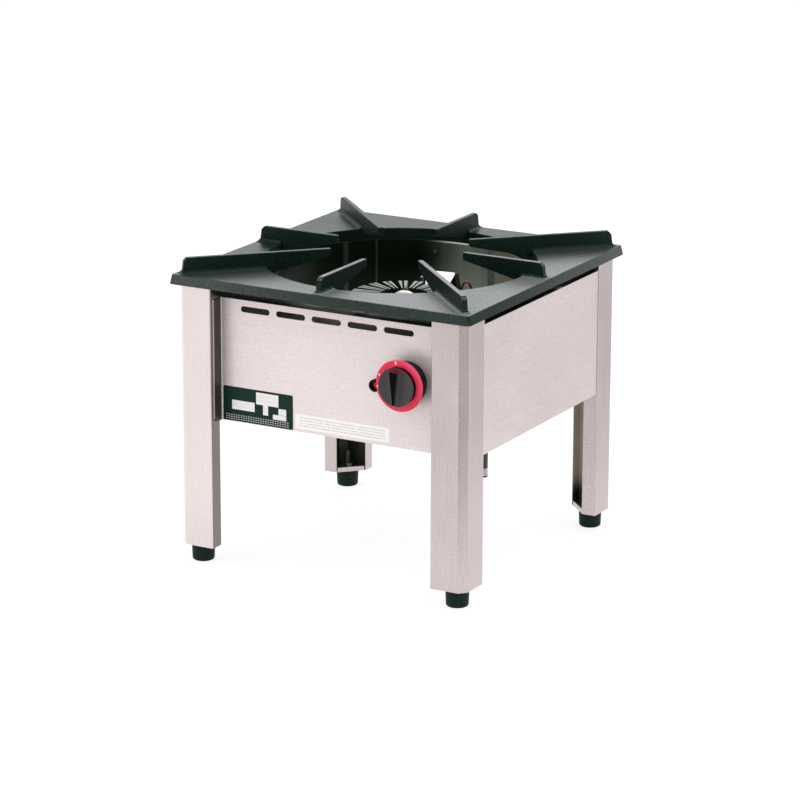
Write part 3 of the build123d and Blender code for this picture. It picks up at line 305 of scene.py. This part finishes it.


# Painted light: the rear right leg's inside is lighter above its foot. Painted shade: the other inward faces
# of the legs are dark, and the front left leg's flange that faces the middle is darker.
def insideLeg(g, colour):
    across = abs(g.x)
    deep = abs(g.y)
    outer = most(across, deep).fade(*insideShade["leg"])
    bevel = (across + deep).fade(*insideShade["legBevel"])
    sideways = across.fall(*insideShade["legFlange"])
    forwards = deep.fall(*insideShade["legFlange"])
    hidden = 1.0 - most(outer, bevel, sideways, forwards)
    right = g.x.fade(*insideShade["middle"])
    rear = g.y.fade(*insideShade["middle"])
    lit = right * rear * g.z.fade(*insideShade["litUp"]) * hidden
    edge = sideways * (1.0 - right) * (1.0 - rear)
    inner = g.mix(lit, insideShade["tint"], insideShade["lit"])
    return g.mix(edge, g.mix(hidden, colour, inner), insideShade["edge"]), hidden, lit


# The front left leg gets the lighter sheet. The other legs get a copy painted darker as shade.
litLeg = brushedSheet("lit_leg_sheet", litLegLook, insideLeg)
shadedLeg = brushedSheet("shaded_leg_sheet", shadedLegLook, insideLeg)
plateSheet = brushedSheet("foot_plate_sheet", shadedLegLook)
for name in nodes:
    if name.startswith("leg_base_"):
        dress(plateSheet, name)
    elif name.startswith("leg_"):
        dress(litLeg if name == "leg_front_left" else shadedLeg, name)
dress(brushedSheet("front_sheet", frontLook, behindFront), "front_panel")
dress(brushedSheet("rear_sheet", frontLook, behindRear), "rear_rail")
dress(brushedSheet("side_sheet", sideLook, behindSide), "left_panel", "right_panel")
print("sheet pieces dressed")

# The flame ring's wall is painted dark as shade, with stains in it. Towards its seam it is paler as a painted
# reflection, part of its rear rim is a painted highlight, and two upright streaks are painted highlights.
# Angles are in degrees from the right, round by the rear. A streak is its angle, half width and share.
ringLook = {"dark": (0.014, 0.021, 0.014), "stainedShade": (0.0210, 0.0315, 0.0210), "rough": 0.30,
            "pale": (0.30, 0.335, 0.275), "paleTo": (80.0, 112.0), "rear": (20.0, 50.0),
            "brown": (0.30, 0.26, 0.19), "brownTo": (68.5, 72.5),
            "seam": 73.5, "seamHalf": (1.2, 3.2), "blotchTo": (0.420, 0.436),
            "cut": (0.75, 0.76, 0.72), "lip": (0.4663, 0.4666), "lipFrom": (82.0, 88.0),
            "lipTo": (92.0, 108.0), "outside": (0.30, 0.32, 0.27), "outer": (0.2136, 0.2139),
            "outerHaze": 0.7, "clearOfSeam": (10.0, 14.0),
            "highlightStreaks": [(144.8, 2.2, 0.30), (130.0, 0.8, 0.30)]}
railLook = {"dark": (0.10, 0.10, 0.09), "pale": (0.24, 0.235, 0.215), "rough": 0.45}
staining = {"streak": 260.0, "squash": 0.03, "stain": 14.0, "depth": 0.00003}


def sheetStain(g, low, high):
    streak = g.noise(staining["streak"], detail=3.0, stretch=(1.0, 1.0, staining["squash"]))
    stain = g.noise(staining["stain"], detail=4.0)
    return streak, stain, g.mix(streak * 0.5 + stain * 0.5, low, high)


def ringSheet(look):
    g = Finish("ring_sheet")
    # The wall is painted dark as shade, with stains.
    streak, stain, colour = sheetStain(g, look["dark"], look["stainedShade"])
    turn = g.y.maths("ARCTAN2", g.x) * (180.0 / math.pi)
    fromSeam = abs(turn - look["seam"])
    rear = turn.fade(*look["rear"])
    # Paler towards the seam as a painted reflection.
    pale = turn.fall(*look["paleTo"]) * rear * (0.62 + stain * 0.5 + streak * 0.2)
    colour = g.mix(pale, colour, look["pale"])
    colour = g.mix(turn.fall(*look["brownTo"]) * rear * stain, colour, look["brown"])
    blotch = g.z.fall(*look["blotchTo"]) * stain.fade(0.35, 0.60)
    seam = fromSeam.fall(*look["seamHalf"]) * (0.25 + blotch * 0.75)
    colour = g.mix(seam, colour, look["dark"])
    # Two upright streaks painted as highlights.
    for middle, half, share in look["highlightStreaks"]:
        colour = g.mix(abs(turn - middle).fall(0.0, half) * share, colour, look["pale"])
    # Part of the rear rim painted pale as a highlight.
    lip = g.z.fade(*look["lip"]) * turn.fall(*look["lipTo"]) * turn.fade(*look["lipFrom"])
    colour = g.mix(lip, colour, look["cut"])
    outside = distance(g.x, g.y).fade(*look["outer"]) * fromSeam.fade(*look["clearOfSeam"])
    colour = g.mix(outside, colour, look["outside"])
    rough = look["rough"] + pale * 0.2 + stain.sway(0.2) + streak.sway(0.1)
    metal = 1.0 - most(lip, outside * look["outerHaze"])
    return g.finish(colour, rough, g.bump(streak, staining["depth"]), metal=metal)


def railSheet(look):
    g = Finish("rail_sheet")
    streak, stain, colour = sheetStain(g, look["dark"], look["pale"])
    return g.finish(colour, look["rough"] + stain.sway(0.2), g.bump(streak, staining["depth"]), metal=1.0)


dress(ringSheet(ringLook), "flame_ring")
dress(railSheet(railLook), "burner_rail_front", "burner_rail_rear", "ring_brackets", "lead_comb",
      "pilot_bracket")
print("ring and rails dressed")

# Plated, turned and drawn metal.
platedLook = {"low": (0.52, 0.52, 0.53), "high": (0.72, 0.71, 0.70), "rough": 0.30, "grain": 420.0,
              "depth": 0.00004}
brassLook = {"low": (0.46, 0.33, 0.13), "high": (0.68, 0.52, 0.25), "rough": 0.34, "grain": 420.0,
             "depth": 0.00004}
copperLook = {"low": (0.10, 0.030, 0.014), "high": (0.26, 0.085, 0.040), "rough": 0.40, "grain": 420.0,
              "depth": 0.00004}
capLook = {"low": (0.34, 0.31, 0.28), "high": (0.56, 0.52, 0.47), "rough": 0.34, "grain": 300.0,
           "depth": 0.0001}
rivetLook = {"low": (0.12, 0.13, 0.11), "high": (0.36, 0.37, 0.34), "rough": 0.30, "grain": 420.0,
             "depth": 0.00004}
tarnishScale = 55.0


def turnedMetal(name, look):
    g = Finish(name)
    grain = g.noise(look["grain"])
    tarnish = g.noise(tarnishScale, detail=4.0)
    colour = g.mix(grain * 0.3 + tarnish * 0.7, look["low"], look["high"])
    return g.finish(colour, look["rough"] + tarnish.sway(0.24), g.bump(grain, look["depth"]), metal=1.0)


dress(turnedMetal("plated_steel", platedLook), "foot_nuts", "burner_bolts", "burner_nuts", "feed_nuts",
      "jet_holder", "igniter_nut", "valve_screws", "valve_push_rod", "valve_spindle", "air_shutter",
      "spark_tip", "flame_probe")
dress(turnedMetal("rivet_metal", rivetLook), "ring_rivets")
dress(turnedMetal("cap_metal", capLook), "burner_cap")
dress(turnedMetal("brass_metal", brassLook), "gas_valve_body", "gas_jet", "pilot_burner")
dress(turnedMetal("copper_metal", copperLook), "feed_pipe", "pilot_pipe", "probe_lead")

# Screwed ends. The lowest turn of the gas inlet's thread is painted black as shade.
stemLook = {"low": (0.10, 0.10, 0.10), "high": (0.24, 0.24, 0.235), "rough": 0.45, "pitch": 0.0015}
inletLook = {"low": (0.52, 0.52, 0.53), "high": (0.72, 0.71, 0.70), "rough": 0.30, "pitch": 0.0018,
             "shadedEnd": (0.02, 0.02, 0.02), "shadedEndTo": (0.1752, 0.1758)}
threading = {"tarnish": 90.0, "depth": 0.0004}


def threadedMetal(name, look):
    g = Finish(name)
    turns = (g.z * (2.0 * math.pi / look["pitch"])).maths("SINE")
    tarnish = g.noise(threading["tarnish"], detail=3.0)
    colour = g.mix((turns * 0.5 + 0.5) * 0.5 + tarnish * 0.5, look["low"], look["high"])
    # The lowest turn is painted black as shade.
    if "shadedEnd" in look:
        colour = g.mix(g.z.fall(*look["shadedEndTo"]), colour, look["shadedEnd"])
    return g.finish(colour, look["rough"] + tarnish * 0.1, g.bump(turns, threading["depth"]), metal=1.0)


stemMetal = threadedMetal("stem_thread", stemLook)
for name in nodes:
    if name.startswith("foot_stem_"):
        dress(stemMetal, name)
dress(threadedMetal("inlet_thread", inletLook), "inlet_nipple")
print("metal pieces dressed")

# Painted, moulded and ceramic pieces.
footLook = {"low": (0.002, 0.011, 0.008), "high": (0.006, 0.021, 0.016), "rough": 0.50, "gloss": 0.12,
            "depth": 0.00006}
pipeLook = {"low": (0.008, 0.010, 0.009), "high": (0.022, 0.026, 0.024), "rough": 0.45, "gloss": 0.5,
            "depth": 0.00006}
# The pilot hood's steel is painted near black as shade.
shadedHoodLook = {"low": (0.004, 0.004, 0.003), "high": (0.012, 0.011, 0.008), "rough": 0.60, "gloss": 0.25,
            "depth": 0.00006}
bezelLook = {"low": (0.0010, 0.0030, 0.0020), "high": (0.0030, 0.0060, 0.0045), "rough": 0.55,
             "gloss": 0.10, "depth": 0.00006}
buttonLook = {"low": (0.66, 0.012, 0.03), "high": (0.80, 0.03, 0.05), "rough": 0.30, "gloss": 0.5,
              "depth": 0.00006}
ceramicLook = {"low": (0.72, 0.70, 0.64), "high": (0.82, 0.80, 0.76), "rough": 0.20, "gloss": 0.5,
               "depth": 0.00003}
sheathLook = {"low": (0.010, 0.010, 0.010), "high": (0.022, 0.020, 0.020), "rough": 0.6, "gloss": 0.5,
              "depth": 0.00006}
moulding = {"grain": 800.0, "wear": 24.0}


def moulded(name, look):
    g = Finish(name)
    grain = g.noise(moulding["grain"])
    wear = g.noise(moulding["wear"], detail=4.0)
    colour = g.mix(wear * 0.6 + grain * 0.4, look["low"], look["high"])
    rough = look["rough"] + wear.sway(0.14)
    return g.finish(colour, rough, g.bump(grain, look["depth"]), gloss=look["gloss"])


footPlastic = moulded("foot_plastic", footLook)
for name in nodes:
    if name.startswith("foot_") and name != "foot_nuts" and not name.startswith("foot_stem_"):
        dress(footPlastic, name)
dress(moulded("pipe_paint", pipeLook), "inlet_pipe")
dress(moulded("shaded_hood_steel", shadedHoodLook), "pilot_hood")
dress(moulded("bezel_plastic", bezelLook), "knob_bezel", "igniter_body")
dress(moulded("button_plastic", buttonLook), "igniter_button")
dress(moulded("ceramic_glaze", ceramicLook), "spark_electrode")
dress(moulded("lead_sheath", sheathLook), "spark_lead")

# The knob: the crest of its grip is painted blackest as a dark reflection, and the top of its side has a
# painted reflection of the dial's red.
knobCentre = (0.145, 0.355)
knobLook = {"face": (0.030, 0.028, 0.029), "rough": 0.40, "grain": 1400.0, "wear": 40.0, "depth": 0.00003,
            "crest": (0.006, 0.005, 0.005), "crestTo": (-0.2838, -0.2826), "crestRough": 0.12,
            "glow": (0.085, 0.004, 0.010), "redReflectionUp": (0.0245, 0.0270), "redReflectionAcross": (0.010, 0.016)}


def knobPlastic(look):
    g = Finish("knob_plastic")
    grain = g.noise(look["grain"])
    wear = g.noise(look["wear"], detail=3.0)
    # Painted dark reflection on the crest of the grip.
    crest = g.y.fall(*look["crestTo"])
    colour = g.mix(crest, look["face"], look["crest"])
    middle, level = knobCentre
    # Painted reflection of the dial's red on top of the knob's side.
    above = (g.z - level).fade(*look["redReflectionUp"]) * abs(g.x - middle).fall(*look["redReflectionAcross"])
    colour = g.mix(above, colour, look["glow"])
    rough = look["rough"] + wear.sway(0.1) + crest * look["crestRough"]
    return g.finish(colour, rough, g.bump(grain, look["depth"]), metal=crest)


dress(knobPlastic(knobLook), "control_knob")

# The dial: red, with a painted pink highlight towards its upper right, with a ring and a dot at off, and a
# white dot each for spark and full flame. A mark is its angle, its distance from the centre, its radius and
# its hole's.
dialLook = {"red": (0.80, 0.003, 0.040), "pink": (0.88, 0.012, 0.090), "highlight": (0.90, 0.075, 0.165),
            "towards": (0.84, 0.54), "highlightFrom": (0.012, 0.040), "rough": 0.17, "wear": 60.0,
            "grain": 500.0, "depth": 0.00002, "white": (0.88, 0.87, 0.87), "soft": 0.0002,
            "marks": [(9.5, 0.0358, 0.0014, 0.0), (9.5, 0.0386, 0.0017, 0.0008),
                      (69.0, 0.0379, 0.0014, 0.0), (97.7, 0.0388, 0.0015, 0.0)]}


def dialPlastic(look):
    g = Finish("dial_plastic")
    wear = g.noise(look["wear"], detail=3.0)
    colour = g.mix(wear * 0.5, look["red"], look["pink"])
    middle, level = knobCentre
    # A painted pink highlight towards the upper right.
    rightShare, upShare = look["towards"]
    corner = (g.x - middle) * rightShare + (g.z - level) * upShare
    colour = g.mix(corner.fade(*look["highlightFrom"]) * (0.6 + wear * 0.4), colour, look["highlight"])
    soft = look["soft"]
    for turn, radius, size, hole in look["marks"]:
        angle = math.radians(turn)
        markX = middle - radius * math.sin(angle)
        markZ = level + radius * math.cos(angle)
        away = distance(g.x - markX, g.z - markZ)
        disc = away.fall(size - soft, size + soft)
        if hole:
            disc = disc * away.fade(hole - soft, hole + soft)
        colour = g.mix(disc, colour, look["white"])
    return g.finish(colour, look["rough"] + wear.sway(0.05), g.bump(g.noise(look["grain"]), look["depth"]))


dress(dialPlastic(dialLook), "knob_dial")
print("moulded pieces dressed")

# The two plates on the front panel, with plain fields, ruled lines and a plain grid. A field is its
# left, right, low and high edge.
panelFace = -0.234
plateCorner = {"offset": 0.0012, "segments": 4}
plateLook = {"left": -0.1975, "right": -0.0665, "low": 0.2447, "high": 0.3022, "thick": 0.0004,
             "ground": (0.002, 0.018, 0.013), "groundPale": (0.005, 0.030, 0.022), "rough": 0.38,
             "gloss": 0.15, "wear": 300.0, "depth": 0.00002,
             "paper": (0.84, 0.81, 0.80), "rules": (0.30, 0.34, 0.32), "ruleCount": 3.0, "margin": 0.001,
             "fields": [(-0.1355, -0.0935, 0.2785, 0.2985), (-0.1810, -0.1385, 0.2645, 0.2800),
                        (-0.1225, -0.1130, 0.2620, 0.2790), (-0.0935, -0.0790, 0.2660, 0.2765),
                        (-0.1040, -0.0790, 0.2575, 0.2655)],
             "cells": {"left": -0.1935, "right": -0.0740, "low": 0.2462, "high": 0.2565,
                       "across": 26, "up": 3}}
stripLook = {"left": -0.0620, "right": 0.1115, "low": 0.2490, "high": 0.2736, "thick": 0.0003,
             "paper": (0.93, 0.90, 0.895), "rules": (0.42, 0.40, 0.40), "rough": 0.35,
             "wear": 200.0, "broken": 520.0, "depth": 0.00002,
             "lines": {"left": -0.0545, "right": 0.1040, "low": 0.2522, "high": 0.2702, "count": 4}}


def thinPlate(name, look):
    wide = look["right"] - look["left"]
    high = look["high"] - look["low"]
    mesh = bpy.data.meshes.new(name)
    shape = bmesh.new()
    bmesh.ops.create_cube(shape, size=1.0)
    bmesh.ops.scale(shape, vec=(wide, look["thick"], high), verts=shape.verts)
    through = [e for e in shape.edges if abs((e.verts[0].co - e.verts[1].co).y) > look["thick"] / 2]
    bmesh.ops.bevel(shape, geom=through, affect="EDGES", **plateCorner)
    middle = ((look["left"] + look["right"]) / 2, panelFace - look["thick"] / 2,
              (look["low"] + look["high"]) / 2)
    bmesh.ops.translate(shape, vec=middle, verts=shape.verts)
    shape.to_mesh(mesh)
    shape.free()
    plate = bpy.data.objects.new(name, mesh)
    bpy.context.scene.collection.objects.link(plate)
    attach(plate, "range_frame")
    return plate


def box(g, left, right, low, high):
    soft = 0.0002
    return (g.x.fade(left - soft, left + soft) * g.x.fall(right - soft, right + soft)
            * g.z.fade(low - soft, low + soft) * g.z.fall(high - soft, high + soft))


# Dark printed plate with pale fields, and a plain ruled grid along its foot.
def plateMaterial(look):
    g = Finish("plate_print")
    wear = g.noise(look["wear"], detail=3.0)
    colour = g.mix(wear, look["ground"], look["groundPale"])
    cells = look["cells"]
    wide = (cells["right"] - cells["left"]) / cells["across"]
    high = (cells["high"] - cells["low"]) / cells["up"]
    column = ((g.x - cells["left"]) / wide).maths("FRACT")
    row = ((g.z - cells["low"]) / high).maths("FRACT")
    ink = column.fade(0.15, 0.40) * column.fall(0.72, 0.92) * row.fade(0.20, 0.40) * row.fall(0.66, 0.86)
    grid = ink * box(g, cells["left"], cells["right"], cells["low"], cells["high"])
    colour = g.mix(grid * (0.35 + wear * 0.5), colour, look["paper"])
    margin = look["margin"]
    for left, right, low, high in look["fields"]:
        colour = g.mix(box(g, left, right, low, high), colour, look["paper"])
        line = ((g.z - low) / (high - low) * look["ruleCount"]).maths("FRACT")
        inner = box(g, left + margin, right - margin, low + margin, high - margin)
        colour = g.mix(abs(line - 0.5).fade(0.40, 0.50) * inner * 0.35, colour, look["rules"])
    return g.finish(colour, look["rough"] + wear.sway(0.1), g.bump(wear, look["depth"]), gloss=look["gloss"])


# White strip with plain ruled lines.
def stripMaterial(look):
    g = Finish("strip_film")
    wear = g.noise(look["wear"], detail=3.0)
    lines = look["lines"]
    pitch = (lines["high"] - lines["low"]) / lines["count"]
    rule = abs(((g.z - lines["low"]) / pitch).maths("FRACT") - 0.5).fall(0.08, 0.22)
    broken = g.noise(look["broken"], detail=1.0, stretch=(1.0, 1.0, 0.3)).fade(0.36, 0.56)
    inside = box(g, lines["left"], lines["right"], lines["low"], lines["high"])
    colour = g.mix(rule * inside * (0.25 + broken * 0.55), look["paper"], look["rules"])
    return g.finish(colour, look["rough"] + wear.sway(0.1), g.bump(wear, look["depth"]))


dataPlate = thinPlate("data_plate", plateLook)
dataPlate.data.materials.append(plateMaterial(plateLook))
noteStrip = thinPlate("note_strip", stripLook)
noteStrip.data.materials.append(stripMaterial(stripLook))
print("plates placed")

# Studio: white all round for the camera and for reflections, softer light for everything else.
white = (1.0, 1.0, 1.0)
worldLook = {"soft": (1.0, 0.99, 0.985), "strength": 0.85}
floorLook = {"size": 30.0, "paper": (0.80, 0.795, 0.79), "rough": 0.9, "shade": (0.20, 0.20, 0.20),
             "glow": 0.84}


def whiteToCamera(g):
    rays = [g.node("ShaderNodeLightPath", output=kind)
            for kind in ("Is Camera Ray", "Is Glossy Ray", "Is Transmission Ray")]
    return most(*rays)


def makeWorld(look):
    world = bpy.data.worlds.new("studio")
    world.use_nodes = True
    bpy.context.scene.world = world
    g = Graph(world.node_tree)
    plain = g.tree.nodes["Background"]
    g.join(look["soft"], plain.inputs["Color"])
    g.join(look["strength"], plain.inputs["Strength"])
    bright = g.node("ShaderNodeBackground", [white])
    mixed = g.node("ShaderNodeMixShader", [whiteToCamera(g), Signal(g, plain.outputs[0]), bright])
    g.join(mixed, g.tree.nodes["World Output"].inputs[0])


def levelSheet(name, low, high, height):
    (left, near), (right, far) = low, high
    mesh = bpy.data.meshes.new(name)
    mesh.from_pydata([(left, near, height), (right, near, height), (right, far, height), (left, far, height)],
                     [], [(0, 1, 2, 3)])
    sheet = bpy.data.objects.new(name, mesh)
    bpy.context.scene.collection.objects.link(sheet)
    return sheet


def makeFloor(look):
    half = look["size"] / 2
    floor = levelSheet("floor", (-half, -half), (half, half), 0.0)
    g = Finish("floor_paper")
    g.finish(look["paper"], look["rough"])
    shade = g.node("ShaderNodeBsdfDiffuse", [look["shade"]])
    glow = g.node("ShaderNodeEmission", [white, look["glow"]])
    both = g.node("ShaderNodeAddShader", [shade, glow])
    paper = Signal(g, g.shader.outputs[0])
    mixed = g.node("ShaderNodeMixShader", [whiteToCamera(g), paper, both])
    g.join(mixed, g.output.inputs[0])
    floor.data.materials.append(g.material)


# Three darker cards on the floor, which only reflections see.
cardHeight = 0.002
cardLooks = [
    {"name": "card_front", "low": (-0.50, -2.6), "high": (1.7, -1.30), "level": 0.40},
    {"name": "card_corner", "low": (0.45, -1.30), "high": (1.9, -0.60), "level": 0.06},
    {"name": "card_right", "low": (0.55, 0.35), "high": (2.6, 2.6), "level": 0.80},
]


def makeCard(look):
    card = levelSheet(look["name"], look["low"], look["high"], cardHeight)
    g = Finish(look["name"])
    glow = g.node("ShaderNodeEmission", [white, look["level"]])
    g.join(glow, g.output.inputs[0])
    card.data.materials.append(g.material)
    card.visible_camera = False
    card.visible_diffuse = False
    card.visible_shadow = False
    card.visible_transmission = False


lampLooks = [
    {"name": "key", "spot": (-2.6, -2.6, 3.0), "aim": (0, 0, 0.3), "size": (2.6, 2.6), "power": 52.0},
    {"name": "top", "spot": (0.3, 0.4, 3.2), "aim": (0, 0, 0.3), "size": (2.6, 2.6), "power": 34.0},
    {"name": "side", "spot": (3.4, 0.2, 2.0), "aim": (0, 0, 0.3), "size": (2.2, 2.2), "power": 22.0},
    {"name": "rear", "spot": (-1.2, 3.0, 1.9), "aim": (0, 0, 0.45), "size": (3.0, 1.2), "power": 30.0},
]


def makeLamp(look):
    data = bpy.data.lights.new(look["name"], "AREA")
    data.shape = "RECTANGLE"
    data.size, data.size_y = look["size"]
    data.energy = look["power"]
    lamp = bpy.data.objects.new(look["name"], data)
    lamp.location = look["spot"]
    away = Vector(look["spot"]) - Vector(look["aim"])
    lamp.rotation_euler = away.to_track_quat("Z", "Y").to_euler()
    bpy.context.scene.collection.objects.link(lamp)


for look in cardLooks:
    makeCard(look)
makeWorld(worldLook)
makeFloor(floorLook)
for look in lampLooks:
    makeLamp(look)
bpy.context.scene.view_settings.view_transform = "Standard"
print("studio set")
